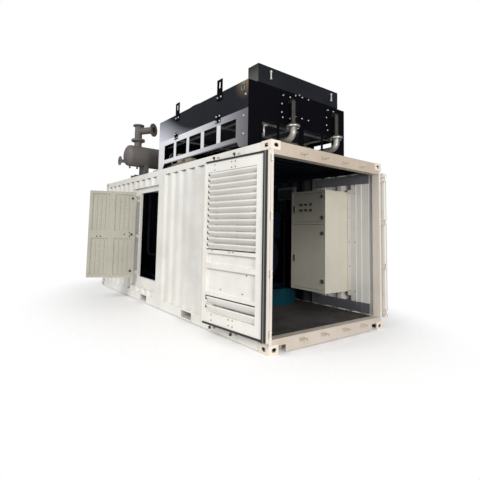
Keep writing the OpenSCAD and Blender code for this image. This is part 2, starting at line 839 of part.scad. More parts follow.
pipe_x = cool_x1 + 84;
pipe_ys = [-275, 765];
pipe_r = 36;
elbow_z = 2855;
elbow_r = 50;
elbow_bend = 120;
run_x = 1150;
run_l = pipe_x - run_x;
module pipe_bend(way) {
    translate([-elbow_bend, 0, elbow_z + elbow_bend]) rotate([90, 0, 0])
        rotate_extrude(angle = way * 90, $fn = 60) translate([elbow_bend, 0]) circle(r = elbow_r, $fn = 36);
}

module water_pipe(y) {
    translate([pipe_x, y, 0]) {
        translate([0, 0, 3050]) cylinder(r = pipe_r, h = 380, $fn = 36);
        translate([0, 0, 3030]) cylinder(r = 100, h = 20, $fn = 48);
        translate([0, 0, 3050.4]) cylinder(r = 100, h = 18, $fn = 48);
        translate([0, 0, elbow_z + elbow_bend])
            cylinder(r = elbow_r, h = 3030 - elbow_z - elbow_bend, $fn = 36);
        pipe_bend(-1);
        translate([-elbow_bend, 0, elbow_z]) rotate([0, -90, 0])
            cylinder(r = elbow_r, h = run_l - 2 * elbow_bend, $fn = 36);
        translate([-run_l, 0, 2 * elbow_z]) mirror([0, 0, 1]) mirror([1, 0, 0]) pipe_bend(-1);
        translate([-run_l, 0, roof_crest])
            cylinder(r = elbow_r, h = elbow_z - elbow_bend - roof_crest, $fn = 36);
        translate([-run_l, 0, roof_crest]) cylinder(r = 95, h = 12, $fn = 40);
        translate([0, 0, 3430]) rotate([0, -90, 0]) cylinder(r = pipe_r, h = 84, $fn = 36);
    }
}

module water_pipes() {
    color(zinc_grey) for (y = pipe_ys) water_pipe(y);
}

// Silencer across the roof, its near end standing out over the side
sil_half = sil_l / 2;
dish_d = 110;
saddle_y = 950;
bolt_r = 9;
module bolt_circle(pcd, n, h) {
    for (k = [0:n - 1]) rotate([0, 0, (k + 0.5) * 360 / n]) translate([pcd / 2, 0, -1])
        cylinder(r = bolt_r, h = h + 2, $fn = 20);
}

stub_pcd = 145;
stub_z = sil_z - 145;
stub_l = 95;
stub_t = 14;
module silencer() {
    color(taupe) difference() {
        union() {
            translate([-sil_x, 0, sil_z]) rotate([90, 0, 0]) rotate_extrude($fn = 72) polygon(concat(
                [[0, -sil_half]], [for (a = [10:10:90]) [sil_r * sin(a), -sil_half + dish_d * (1 - cos(a))]],
                [for (a = [90:-10:10]) [sil_r * sin(a), sil_half - dish_d * (1 - cos(a))]], [[0, sil_half]]));
            translate([-sil_x, -sil_half - stub_l, stub_z]) rotate([-90, 0, 0])
                cylinder(r = 37, h = stub_l + dish_d, $fn = 32);
            translate([-sil_x, -sil_half - stub_l - stub_t, stub_z]) rotate([-90, 0, 0])
                cylinder(r = 100, h = stub_t, $fn = 40);
            for (y = [127, 300]) translate([-sil_x, -sil_half + y, sil_z - sil_r - 48])
                cylinder(r = 20, h = 120, $fn = 24);
        }
        translate([-sil_x, -sil_half - stub_l - stub_t, stub_z]) rotate([-90, 0, 0]) {
            translate([0, 0, -1]) cylinder(r = 31, h = stub_l + stub_t + 1, $fn = 32);
            bolt_circle(stub_pcd, 4, stub_t);
        }
    }
}

module silencer_saddles() {
    color(taupe) union() {
        both_sides() difference() {
            bar([-sil_x - 150, -sil_x + 150], [saddle_y - 50, saddle_y + 50], [roof_z, sil_z - 80]);
            translate([-sil_x, saddle_y - 51, sil_z]) rotate([-90, 0, 0])
                cylinder(r = sil_r, h = 102, $fn = 72);
        }
        for (x = [-sil_x - 120, -sil_x + 60]) bar([x, x + 60], [-wall_y + 5, wall_y - 5], [roof_z, roof_z + 50]);
    }
}

neck_y = sil_half - 300;
neck_r = 82;
neck_top = 3430;
tee_top = 3780;
branch_turn = 33;
outlet_pcd = 210;
branch_pcd = 240;
branch_z = 3640;
branch_l = 402;
flange_t = 22;
module silencer_tee() {
    color(taupe) translate([-sil_x, -neck_y, 0]) difference() {
        union() {
            translate([0, 0, sil_z + sil_r - 40]) cylinder(r = neck_r, h = tee_top - sil_z - sil_r + 40, $fn = 48);
            translate([0, 0, neck_top - 22]) cylinder(r = 150, h = 44, $fn = 48);
            translate([0, 0, tee_top - flange_t]) cylinder(r = 125, h = flange_t, $fn = 48);
            rotate([0, 0, branch_turn]) translate([0, 0, branch_z]) rotate([0, 90, 0]) {
                cylinder(r = 75, h = branch_l, $fn = 48);
                translate([0, 0, branch_l - flange_t]) cylinder(r = 145, h = flange_t, $fn = 48);
            }
        }
        translate([0, 0, sil_z + sil_r + 10]) cylinder(r = neck_r - 6, h = 700, $fn = 48);
        translate([0, -500, sil_z]) rotate([-90, 0, 0]) cylinder(r = sil_r, h = 1000, $fn = 72);
        rotate([0, 0, branch_turn]) translate([0, 0, branch_z]) rotate([0, 90, 0]) {
            cylinder(r = 69, h = 500, $fn = 48);
            translate([0, 0, branch_l - flange_t]) bolt_circle(branch_pcd, 8, flange_t);
        }
        translate([0, 0, tee_top - flange_t]) bolt_circle(outlet_pcd, 8, flange_t);
    }
}

ground_castings();
roof_castings();
corner_posts();
post_hinges();
near_bottom_rail();
far_bottom_rail();
fork_tunnels();
crossmembers();
blind_end_sill();
door_sill();
floor();
top_rails();
door_header();
near_wall_blind_end();
near_wall_door_end();
near_wall_lintel();
far_wall();
blind_end_wall();
roof_sheet();
side_door_frame();
side_door_leaf();
near_end_door();
near_door_louvres();
near_door_seal();
near_lock_rods();
far_end_door();
far_door_louvres();
far_door_seal();
far_lock_rods();
cabinet_case();
cabinet_brackets();
cabinet_upper_door();
cabinet_buttons();
cabinet_lower_door();
skid();
alternator();
engine();
riser_pipe();
cooler_near_side();
cooler_far_side();
cooler_ends();
cooler_feet();
cooler_core();
cooler_deck();
cooler_fan();
cooler_lugs();
header_tank();
water_pipes();
silencer();
silencer_saddles();
silencer_tee();
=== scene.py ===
# Dresses the containerised generating set: finishes for every steel part, the
# small fittings that the source leaves out, studio light and the camera.
import json
import math

import bmesh
import bpy
from mathutils import Matrix, Vector


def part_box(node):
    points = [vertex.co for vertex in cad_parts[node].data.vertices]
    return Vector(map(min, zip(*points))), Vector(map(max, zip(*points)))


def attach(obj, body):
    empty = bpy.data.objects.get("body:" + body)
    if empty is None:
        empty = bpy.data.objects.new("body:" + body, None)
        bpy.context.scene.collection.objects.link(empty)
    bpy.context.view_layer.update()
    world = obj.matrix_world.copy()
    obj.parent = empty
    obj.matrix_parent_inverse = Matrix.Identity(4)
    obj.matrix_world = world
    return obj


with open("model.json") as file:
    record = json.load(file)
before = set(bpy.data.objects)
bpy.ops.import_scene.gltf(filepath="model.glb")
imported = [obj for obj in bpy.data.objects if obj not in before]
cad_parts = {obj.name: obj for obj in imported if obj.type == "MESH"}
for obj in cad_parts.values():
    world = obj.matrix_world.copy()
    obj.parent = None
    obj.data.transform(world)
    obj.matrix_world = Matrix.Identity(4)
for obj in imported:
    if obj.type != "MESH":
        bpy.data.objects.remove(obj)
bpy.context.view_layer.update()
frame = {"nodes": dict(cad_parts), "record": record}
scene = bpy.context.scene
joints = {joint["name"]: joint for joint in frame["record"]["behaviour"]["joints"]}
FLOAT, COLOR, VECTOR = "NodeSocketFloat", "NodeSocketColor", "NodeSocketVector"
UP, DOWN, NEARWARDS, ENDWARDS = (0, 0, 1), (0, 0, -1), (0, -1, 0), (1, 0, 0)


def place_camera():
    """The camera, at the place worked out from the box's corners. Its angles are in
    radians: turned from +Y towards -X, lifted over the level, then rolled."""
    place = (6.15128, -4.25550, 1.45311)
    turn, lift, roll = 0.962788, 0.0805265, 0.0259974
    level = math.cos(lift)
    forward = Vector((-math.sin(turn) * level, math.cos(turn) * level, math.sin(lift)))
    right = Vector((math.cos(turn), math.sin(turn), 0.0))
    up = right.cross(forward)
    rolled_right = right * math.cos(roll) + up * math.sin(roll)
    rolled_up = up * math.cos(roll) - right * math.sin(roll)
    axes = Matrix((rolled_right, rolled_up, -forward)).transposed().to_4x4()
    data = bpy.data.cameras.new("yard_camera")
    data.sensor_width, data.lens, data.clip_end = 36.0, 26.788, 200.0
    data.shift_x, data.shift_y = 0.0587, -0.0799
    camera = bpy.data.objects.new("yard_camera", data)
    scene.collection.objects.link(camera)
    camera.matrix_world = Matrix.Translation(place) @ axes
    scene.camera = camera


# Node helpers
def shader_group(name, inputs, outputs):
    """A node group, with what its input node gives and what its output node takes."""
    tree = bpy.data.node_groups.new(name, "ShaderNodeTree")
    for label, kind, value in inputs:
        socket = tree.interface.new_socket(label, in_out="INPUT", socket_type=kind)
        socket.default_value = value
    for label, kind in outputs:
        tree.interface.new_socket(label, in_out="OUTPUT", socket_type=kind)
    given, out = tree.nodes.new("NodeGroupInput"), tree.nodes.new("NodeGroupOutput")
    return tree, given.outputs, out.inputs


def feed(tree, socket, value):
    """Links another node's output to a socket, or sets the socket to a plain value."""
    if isinstance(value, bpy.types.NodeSocket):
        tree.links.new(value, socket)
    else:
        socket.default_value = value


def add(tree, kind, **settings):
    """A new node with its inputs fed and its own settings made."""
    node = tree.nodes.new(kind)
    for key, value in settings.items():
        if key in node.inputs:
            feed(tree, node.inputs[key], value)
        else:
            setattr(node, key, value)
    return node


def math_node(tree, operation, *values, kind="ShaderNodeMath"):
    """The number that a math node works out from the values."""
    node = add(tree, kind, operation=operation)
    for socket, value in zip(node.inputs, values):
        feed(tree, socket, value)
    return node.outputs["Value"]


def vector_math(tree, operation, *vectors):
    """The number that a vector math node works out from the vectors."""
    return math_node(tree, operation, *vectors, kind="ShaderNodeVectorMath")


def ramp(tree, value, start, end):
    """A smooth rise from 0 where the value is at the start to 1 at the end."""
    node = add(tree, "ShaderNodeMapRange", interpolation_type="SMOOTHSTEP", Value=value)
    feed(tree, node.inputs["From Min"], start)
    feed(tree, node.inputs["From Max"], end)
    return node.outputs["Result"]


def mix_color(tree, factor, first, second):
    """The first colour where the factor is 0 and the second where it is 1."""
    node = add(tree, "ShaderNodeMix", data_type="RGBA", Factor=factor)
    for label, value in (("A", first), ("B", second)):
        feed(tree, node.inputs[label], (*value, 1) if isinstance(value, tuple) else value)
    return node.outputs["Result"]


def noise(tree, place, scale, detail, roughness=0.5):
    """Random patches between 0 and 1."""
    node = add(tree, "ShaderNodeTexNoise", Vector=place, Scale=scale, Detail=detail,
               Roughness=roughness)
    return node.outputs["Fac"]


def split(tree, vector):
    """The X, Y and Z of a vector."""
    return add(tree, "ShaderNodeSeparateXYZ", Vector=vector).outputs


# Shared effects
def build_paint_ageing():
    """Clouded paint with faint streaks that run down, and orange peel."""
    tree, given, out = shader_group(
        "paint_ageing",
        [("Fresh", COLOR, (0.8, 0.8, 0.8, 1)), ("Aged", COLOR, (0.7, 0.7, 0.7, 1)),
         ("Cloud size", FLOAT, 1.5), ("Streaks", FLOAT, 0.3), ("Gloss", FLOAT, 0.35),
         ("Gloss change", FLOAT, 0.15)],
        [("Color", COLOR), ("Roughness", FLOAT), ("Height", FLOAT)])
    place = add(tree, "ShaderNodeTexCoord").outputs["Object"]
    tall = add(tree, "ShaderNodeMapping", Vector=place, Scale=(14.0, 14.0, 0.7))
    clouds = noise(tree, place, given["Cloud size"], 6.0, 0.62)
    peel = noise(tree, place, 220.0, 2.0)
    streaks = ramp(tree, noise(tree, tall.outputs["Vector"], 1.0, 4.0), 0.5, 0.75)
    run = math_node(tree, "MULTIPLY", streaks, given["Streaks"])
    age = math_node(tree, "MAXIMUM", ramp(tree, clouds, 0.38, 0.68), run)
    duller = math_node(tree, "MULTIPLY", clouds, given["Gloss change"])
    feed(tree, out["Color"], mix_color(tree, age, given["Fresh"], given["Aged"]))
    feed(tree, out["Roughness"], math_node(tree, "ADD", duller, given["Gloss"]))
    feed(tree, out["Height"], peel)
    return tree


def build_edge_wear():
    """Mask of chips and rust specks, most of them along edges."""
    tree, given, out = shader_group(
        "edge_wear",
        [("Edge width", FLOAT, 0.004), ("Amount", FLOAT, 0.5), ("Speck size", FLOAT, 26.0)],
        [("Mask", FLOAT)])
    place = add(tree, "ShaderNodeTexCoord").outputs["Object"]
    rounded = add(tree, "ShaderNodeBevel", samples=4, Radius=given["Edge width"])
    flat = add(tree, "ShaderNodeNewGeometry")
    alike = vector_math(tree, "DOT_PRODUCT", rounded.outputs["Normal"], flat.outputs["Normal"])
    edge = ramp(tree, math_node(tree, "SUBTRACT", 1.0, alike), 0.0, 0.3)
    specks = noise(tree, place, given["Speck size"], 5.0, 0.7)
    level = math_node(tree, "ADD", specks, math_node(tree, "MULTIPLY", edge, 0.16))
    chips = ramp(tree, level, 0.70, 0.76)
    feed(tree, out["Mask"], math_node(tree, "MULTIPLY", chips, given["Amount"]))
    return tree


def build_low_dirt():
    """Mask of splashed dirt: full below one height and gone above another."""
    tree, given, out = shader_group(
        "low_dirt",
        [("Full below", FLOAT, 0.1), ("Gone above", FLOAT, 0.5), ("Patch size", FLOAT, 7.0)],
        [("Mask", FLOAT)])
    place = add(tree, "ShaderNodeTexCoord").outputs["Object"]
    patches = noise(tree, place, given["Patch size"], 5.0, 0.65)
    height = ramp(tree, split(tree, place)["Z"], given["Gone above"], given["Full below"])
    level = math_node(tree, "MULTIPLY", height, patches)
    feed(tree, out["Mask"], ramp(tree, level, 0.1, 0.6))
    return tree


def build_room_shade():
    """Mask of painted shade inside the box, growing with depth: Inwards gives how much the
    faces along the box, towards its middle plane and up or down count."""
    tree, given, out = shader_group(
        "room_shade",
        [("Inwards", VECTOR, (0.0, 1.0, 0.0)), ("Shade starts from", FLOAT, 2.9),
         ("Shade full from", FLOAT, 1.9)],
        [("Mask", FLOAT)])
    place = add(tree, "ShaderNodeTexCoord").outputs
    spot, looks = split(tree, place["Object"]), split(tree, place["Normal"])
    middle = math_node(tree, "MULTIPLY", math_node(tree, "SIGN", spot["Y"]), -1.0)
    turned = add(tree, "ShaderNodeCombineXYZ", X=looks["X"], Z=looks["Z"],
                 Y=math_node(tree, "MULTIPLY", looks["Y"], middle))
    facing = vector_math(tree, "DOT_PRODUCT", turned.outputs["Vector"], given["Inwards"])
    depth = ramp(tree, spot["X"], given["Shade starts from"], given["Shade full from"])
    inner = ramp(tree, facing, 0.1, 0.3)
    feed(tree, out["Mask"], math_node(tree, "MULTIPLY", depth, inner))
    return tree


def build_painted_reflection():
    """Masks of painted reflections of the sky: the pale one on the cooler's side, from its far
    lower corner, a brown painted highlight round its near upper corner, and the grey one on
    the header tank."""
    tree, given, out = shader_group(
        "painted_reflection",
        [("Start", FLOAT, -0.45), ("End", FLOAT, 1.8), ("Seam", FLOAT, 3.18),
         ("Rise", FLOAT, 0.62), ("Window middle", FLOAT, 2.937), ("Window half", FLOAT, 0.14),
         ("Last mullion", FLOAT, 2.1), ("Corner place", VECTOR, (2.40, -1.10, 3.60)),
         ("Corner reach", FLOAT, 0.31), ("Tank foot", FLOAT, 3.615)],
        [("Casing", FLOAT), ("Base", FLOAT), ("Corner", FLOAT), ("Tank", FLOAT)])
    place = add(tree, "ShaderNodeTexCoord").outputs
    spot = split(tree, place["Object"])
    near = math_node(tree, "LESS_THAN", split(tree, place["Normal"])["Y"], -0.5)
    high = math_node(tree, "GREATER_THAN", spot["Z"], given["Tank foot"])
    tank = math_node(tree, "MULTIPLY", near, high)
    side = math_node(tree, "SUBTRACT", near, tank)
    below = math_node(tree, "LESS_THAN", spot["Z"], given["Seam"])

    above = math_node(tree, "SUBTRACT", spot["Z"], given["Seam"])
    along = ramp(tree, spot["X"], given["End"], given["Start"])
    casing = math_node(tree, "SUBTRACT", math_node(tree, "POWER", along, 2.2),
                       math_node(tree, "DIVIDE", above, given["Rise"]))
    casing = math_node(tree, "MULTIPLY", math_node(tree, "MAXIMUM", casing, 0.0),
                       math_node(tree, "SUBTRACT", side, below))

    fold = math_node(tree, "ADD", ramp(tree, spot["X"], 2.9, 0.2), 0.08)
    windows = math_node(tree, "COMPARE", spot["Z"], given["Window middle"],
                        given["Window half"])
    mullions = math_node(tree, "MULTIPLY", windows,
                         math_node(tree, "LESS_THAN", spot["X"], given["Last mullion"]))
    base = math_node(tree, "MAXIMUM", fold, math_node(tree, "MULTIPLY", mullions, 0.9))

    away = vector_math(tree, "DISTANCE", place["Object"], given["Corner place"])
    feed(tree, out["Casing"], casing)
    feed(tree, out["Base"], math_node(tree, "MULTIPLY", below, base))
    feed(tree, out["Corner"], math_node(tree, "MULTIPLY", side,
                                        ramp(tree, away, given["Corner reach"], 0.0)))
    feed(tree, out["Tank"], math_node(tree, "MULTIPLY", tank,
                                      ramp(tree, spot["Z"], 3.95, 3.60)))
    return tree


def build_beyond_plane():
    """Mask of the places whose distance along a way is past a plane."""
    tree, given, out = shader_group(
        "beyond_plane", [("Way", VECTOR, (0.0, 0.0, 1.0)), ("Plane", FLOAT, 1.0)],
        [("Mask", FLOAT)])
    place = add(tree, "ShaderNodeTexCoord").outputs["Object"]
    distance = vector_math(tree, "DOT_PRODUCT", place, given["Way"])
    feed(tree, out["Mask"], math_node(tree, "GREATER_THAN", distance, given["Plane"]))
    return tree


def build_casting_inside():
    """Mask of the castings' inner faces: places inside a box about the middle."""
    tree, given, out = shader_group(
        "casting_inside",
        [("Half length", FLOAT, 3.010), ("Half width", FLOAT, 1.200),
         ("Middle height", FLOAT, 1.2955), ("Half height", FLOAT, 1.266)],
        [("Mask", FLOAT)])
    spot = split(tree, add(tree, "ShaderNodeTexCoord").outputs["Object"])
    inside = math_node(tree, "COMPARE", spot["Z"], given["Middle height"],
                       given["Half height"])
    for axis, half in (("X", "Half length"), ("Y", "Half width")):
        between = math_node(tree, "COMPARE", spot[axis], 0.0, given[half])
        inside = math_node(tree, "MULTIPLY", inside, between)
    feed(tree, out["Mask"], inside)
    return tree


paint_ageing = build_paint_ageing()
edge_wear = build_edge_wear()
low_dirt = build_low_dirt()
room_shade = build_room_shade()
painted_reflection = build_painted_reflection()
beyond_plane = build_beyond_plane()
casting_inside = build_casting_inside()


# Finishes
RUST = (0.16, 0.055, 0.02)
# Colour of the painted shade inside the box
INSIDE_SHADE = (0.006, 0.008, 0.014)
MUD = (0.30, 0.24, 0.15)


def effect(tree, group, values=()):
    """Places a shared effect in a material with the material's own values."""
    node = add(tree, "ShaderNodeGroup", node_tree=group)
    for label, value in dict(values).items():
        node.inputs[label].default_value = value
    return node.outputs


def painted(name, fresh, aged, gloss=0.35, change=0.15, cloud=1.5, streaks=0.3,
            metallic=0.0, peel=0.02, wear=0.0, dirt=None, inwards=None,
            depth=(2.9, 1.9), shine=0.5):
    """A paint finish: ageing, then painted shade inside the box, dirt and wear over it where
    they are asked for. Dirt gives the heights where it is full and gone, and depth the places
    along the box where the painted shade inside starts and where it is full."""
    material = bpy.data.materials.new(name)
    material.use_nodes = True
    tree = material.node_tree
    ageing = effect(tree, paint_ageing, {
        "Fresh": (*fresh, 1), "Aged": (*aged, 1), "Cloud size": cloud,
        "Streaks": streaks, "Gloss": gloss, "Gloss change": change})
    color = ageing["Color"]
    if inwards:
        # Painted shade: the inside darkens deeper into the box
        shade = effect(tree, room_shade, {
            "Inwards": inwards, "Shade starts from": depth[0], "Shade full from": depth[1]})
        color = mix_color(tree, shade["Mask"], color, INSIDE_SHADE)
    if dirt:
        mud = effect(tree, low_dirt, {"Full below": dirt[0], "Gone above": dirt[1]})
        color = mix_color(tree, mud["Mask"], color, MUD)
    if wear:
        chips = effect(tree, edge_wear, {"Amount": wear})
        color = mix_color(tree, chips["Mask"], color, RUST)
    bump = add(tree, "ShaderNodeBump", Strength=peel, Distance=0.002,
               Height=ageing["Height"])
    shader = tree.nodes["Principled BSDF"].inputs
    for label, value in (("Base Color", color), ("Roughness", ageing["Roughness"]),
                         ("Metallic", metallic), ("Specular IOR Level", shine),
                         ("Normal", bump.outputs["Normal"])):
        feed(tree, shader[label], value)
    return material


def tint(material, mask, color):
    """Another colour over the material's own, as far as the mask is full."""
    tree = material.node_tree
    base = tree.nodes["Principled BSDF"].inputs["Base Color"]
    feed(tree, base, mix_color(tree, mask, base.links[0].from_socket, color))
    return material


def past_plane(material, way, plane, color):
    """Another colour where the place along a way is past a plane."""
    mask = effect(material.node_tree, beyond_plane, {"Way": way, "Plane": plane})["Mask"]
    return tint(material, mask, color)


def dark_inside(material):
    """Painted shade: near black inside the castings, where only their hand holes let light in.
    """
    mask = effect(material.node_tree, casting_inside)["Mask"]
    return tint(material, mask, (0.015, 0.014, 0.013))


def black_with_painted_reflection(name):
    """Black paint under painted reflections of the sky and a painted highlight on the cooler.
    """
    material = painted(name, (0.007, 0.008, 0.012), (0.011, 0.012, 0.017), gloss=0.42,
                       streaks=0.1, shine=0.15)
    reflection_masks = effect(material.node_tree, painted_reflection)
    for mask, color in (("Casing", (0.70, 0.72, 0.80)), ("Base", (0.74, 0.74, 0.78)),
                        ("Corner", (0.20, 0.145, 0.09)), ("Tank", (0.10, 0.10, 0.088))):
        tint(material, reflection_masks[mask], color)
    return material


def shaded_front(name, fresh, aged):
    """Cabinet paint with painted shade on its front that grows darker upwards. The handles
    and hinges that stand proud of the front are black."""
    material = painted(name, fresh, aged, gloss=0.45, streaks=0.1)
    tree = material.node_tree
    place = add(tree, "ShaderNodeTexCoord").outputs
    front = math_node(tree, "LESS_THAN", split(tree, place["Normal"])["Y"], -0.5)
    upwards = ramp(tree, split(tree, place["Object"])["Z"], 0.7, 2.3)
    # Painted shade on the front, darker upwards
    dark = tuple(0.30 * part for part in fresh)
    tint(material, math_node(tree, "MULTIPLY", front, upwards), dark)
    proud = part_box("cabinet_case")[0].y + 0.016
    return past_plane(material, NEARWARDS, -proud, (0.012, 0.012, 0.012))


def striped_seal(name):
    """Black rubber seal, with a grey stripe down the open leaf's hinge side and a pale run
    down its free side."""
    stripe, half, free_side = 3.024, 0.009, 1.905
    material = painted(name, (0.014, 0.014, 0.014), (0.025, 0.025, 0.025), gloss=0.6,
                       peel=0.1)
    tree = material.node_tree
    along = split(tree, add(tree, "ShaderNodeTexCoord").outputs["Object"])["X"]
    away = math_node(tree, "ABSOLUTE", math_node(tree, "SUBTRACT", along, stripe))
    tint(material, ramp(tree, away, half, half * 0.5), (0.20, 0.19, 0.18))
    return past_plane(material, (-1, 0, 0), -free_side, (0.62, 0.60, 0.56))


def zinc(name):
    """Galvanised steel, mottled in small patches."""
    return painted(name, (0.50, 0.49, 0.46), (0.30, 0.29, 0.27), gloss=0.38, change=0.2,
                   cloud=12.0, metallic=0.85)


# Fresh and aged colours, the heights between which dirt fades, and how much the
# faces along the box, towards its middle and up count as inside for the painted shade on a side
# wall
WHITE = ((0.78, 0.765, 0.72), (0.70, 0.68, 0.63))
CREAM = ((0.75, 0.68, 0.60), (0.66, 0.58, 0.49))
CABINET = ((0.54, 0.52, 0.45), (0.49, 0.47, 0.40))
FOOT, SILL, WALL_FOOT = (-0.16, 0.10), (-0.16, 0.09), (-0.02, 0.28)
TO_MIDDLE = (0, 1, 0)
# Planes where a finish changes: over the leaf's seal and over the water flanges
SEAL_EDGE, FLANGE_TOP = 3.0575, 3.049

# One finish for each of the record's slots
finish = {
    "white_paint": painted("white_paint", *WHITE, dirt=FOOT, wear=0.12),
    "cream_paint": painted("cream_paint", *CREAM, dirt=SILL, wear=0.3),
    "floor_board": painted("floor_board", (0.060, 0.054, 0.052), (0.025, 0.023, 0.022),
                           gloss=0.62, change=0.2, cloud=3.0, peel=0.15),
    "sage_paint": painted("sage_paint", (0.42, 0.41, 0.345), (0.38, 0.37, 0.31),
                          streaks=0.15, wear=0.2),
    "rubber_black": striped_seal("rubber_black"),
    "zinc_steel": zinc("zinc_steel"),
    "cabinet_paint": shaded_front("cabinet_paint", *CABINET),
    "black_plastic": painted("black_plastic", (0.010, 0.010, 0.010),
                             (0.015, 0.015, 0.015), gloss=0.4),
    "teal_paint": painted("teal_paint", (0.003, 0.038, 0.056), (0.002, 0.020, 0.032),
                          gloss=0.4, shine=0.15),
    "blue_paint": painted("blue_paint", (0.002, 0.004, 0.013), (0.002, 0.003, 0.009),
                          gloss=0.4, shine=0.15),
    "cast_grey": painted("cast_grey", (0.050, 0.048, 0.046), (0.022, 0.022, 0.024),
                         gloss=0.5, peel=0.2),
    "black_paint": painted("black_paint", (0.002, 0.002, 0.004), (0.003, 0.003, 0.005),
                           gloss=0.55, streaks=0.1, shine=0.03),
    "core_fins": painted("core_fins", (0.006, 0.008, 0.012), (0.004, 0.005, 0.008),
                         gloss=0.5, change=0.1, cloud=30.0, shine=0.2),
    "taupe_paint": painted("taupe_paint", (0.135, 0.120, 0.112), (0.095, 0.083, 0.077),
                           gloss=0.55, wear=0.25, peel=0.1),
}
# Nodes whose finish differs from that of their slot
special = {
    # Painted reflections of the sky and a painted highlight on the cooler's near side and the
    # header tank
    "cooler_near_side": black_with_painted_reflection("reflected_black_paint"),
    "header_tank": black_with_painted_reflection("tank_paint"),
    # Walls, roof and rails with painted shade on their inner faces
    "far_wall": painted("far_wall_paint", *WHITE, inwards=TO_MIDDLE, depth=(2.45, 1.45)),
    "near_wall_blind_end": painted("near_wall_back", *WHITE, dirt=WALL_FOOT,
                                   inwards=TO_MIDDLE),
    "near_wall_door_end": painted("near_wall_front", *WHITE, dirt=WALL_FOOT,
                                  inwards=TO_MIDDLE, depth=(3.2, 2.9)),
    "near_wall_lintel": painted("near_wall_over", *WHITE, inwards=TO_MIDDLE),
    "side_door_frame": painted("side_frame_paint", *WHITE, wear=0.2, inwards=TO_MIDDLE),
    "blind_end_wall": painted("blind_wall_paint", *WHITE, inwards=ENDWARDS),
    "roof_sheet": painted("roof_paint", *WHITE, inwards=DOWN, depth=(3.5, 3.0),
                          shine=0.08),
    "top_rails": painted("top_rail_paint", *WHITE, inwards=(0, 1, -1), depth=(3.6, 2.6),
                         wear=0.15, shine=0.2),
    "near_end_door": past_plane(painted("near_leaf_paint", *WHITE, dirt=FOOT, wear=0.12),
                                ENDWARDS, SEAL_EDGE, (0.62, 0.57, 0.51)),
    "ground_castings": dark_inside(painted("ground_casting_paint", *CREAM, wear=0.3)),
    "roof_castings": dark_inside(painted("roof_casting_paint", *CREAM, wear=0.3)),
    "corner_posts": painted("post_paint", (0.69, 0.645, 0.585), (0.62, 0.57, 0.51),
                            wear=0.2),
    "door_sill": painted("sill_paint", (0.53, 0.475, 0.415), (0.46, 0.41, 0.345),
                         dirt=SILL, wear=0.2),
    "door_header": painted("header_paint", (0.50, 0.43, 0.355), (0.44, 0.375, 0.30),
                           wear=0.2),
    "water_pipes": past_plane(zinc("pipe_zinc"), UP, FLANGE_TOP, (0.045, 0.043, 0.040)),
    "riser_pipe": painted("riser_paint", (0.050, 0.060, 0.090), (0.030, 0.036, 0.055),
                          gloss=0.5, shine=0.2),
}
for part in frame["record"]["subparts"]:
    for holder in frame["nodes"][part["node"]].material_slots:
        holder.material = special.get(part["node"], finish[part["material_slot"]])

# Finishes of the fittings
silver = painted("bright_bolt", (0.75, 0.75, 0.74), (0.60, 0.60, 0.58), gloss=0.25,
                 change=0.1, cloud=40.0, metallic=0.6)
dull_steel = painted("dull_bolt", (0.22, 0.22, 0.21), (0.14, 0.14, 0.13), gloss=0.4,
                     metallic=0.5)
black_steel = painted("black_bolt", (0.012, 0.012, 0.012), (0.03, 0.03, 0.03), gloss=0.45)
frame_paint = painted("far_frame_paint", (0.66, 0.66, 0.63), (0.58, 0.58, 0.55),
                      inwards=TO_MIDDLE, depth=(2.2, 1.45))
# Painted shade over the frame's top and under its foot, besides the painted shade inside the
# box
shaded_over, shaded_under = 2.285, 0.352
past_plane(frame_paint, UP, shaded_over, (0.13, 0.135, 0.145))
past_plane(frame_paint, DOWN, -shaded_under, (0.11, 0.115, 0.125))
box_paint = painted("control_box_paint", (0.10, 0.10, 0.105), (0.07, 0.07, 0.075))
brace_paint = painted("brace_paint", (0.20, 0.20, 0.21), (0.12, 0.12, 0.13))
pot_paint = painted("pot_paint", (0.42, 0.37, 0.30), (0.26, 0.22, 0.18), streaks=0.6,
                    wear=0.5)
gauge_glass = painted("gauge_glass", (0.55, 0.56, 0.52), (0.30, 0.31, 0.29), gloss=0.15,
                      change=0.1, cloud=25.0)


# Pieces
def piece(name, mesh, material, body):
    """A finished piece, with its material, that rides on a body."""
    mesh.materials.clear()
    mesh.materials.append(material)
    made = bpy.data.objects.new(name, mesh)
    scene.collection.objects.link(made)
    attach(made, body)
    return made


def mesh_of(name, build, smooth=False, place=None):
    """The mesh of what a build function draws, moved to a place if there is one."""
    shape = bmesh.new()
    build(shape)
    if place is not None:
        bmesh.ops.transform(shape, matrix=place, verts=shape.verts)
        bmesh.ops.recalc_face_normals(shape, faces=shape.faces)
    mesh = bpy.data.meshes.new(name)
    shape.to_mesh(mesh)
    shape.free()
    for face in mesh.polygons:
        face.use_smooth = smooth
    return mesh


def fitting(name, build, material, body, smooth=False, place=None):
    """A piece made from what a build function draws."""
    return piece(name, mesh_of(name, build, smooth, place), material, body)


def circle(steps):
    """The cosine and sine of every step round a circle."""
    turns = [2 * math.pi * k / steps for k in range(steps)]
    return [(math.cos(turn), math.sin(turn)) for turn in turns]


def spin_profile(shape, profile, steps, place=Matrix.Identity(4)):
    """Rings of (radius, height) points about local z, closed where the radius is 0."""
    rings = []
    for radius, height in profile:
        spots = [(radius * c, radius * s, height) for c, s in circle(steps)]
        rings.append([shape.verts.new(place @ Vector(spot))
                      for spot in (spots if radius else spots[:1])])
    for low, high in zip(rings, rings[1:]):
        for k in range(steps):
            after = (k + 1) % steps
            corners = [low[k % len(low)], low[after % len(low)],
                       high[after % len(high)], high[k % len(high)]]
            shape.faces.new(list(dict.fromkeys(corners)))


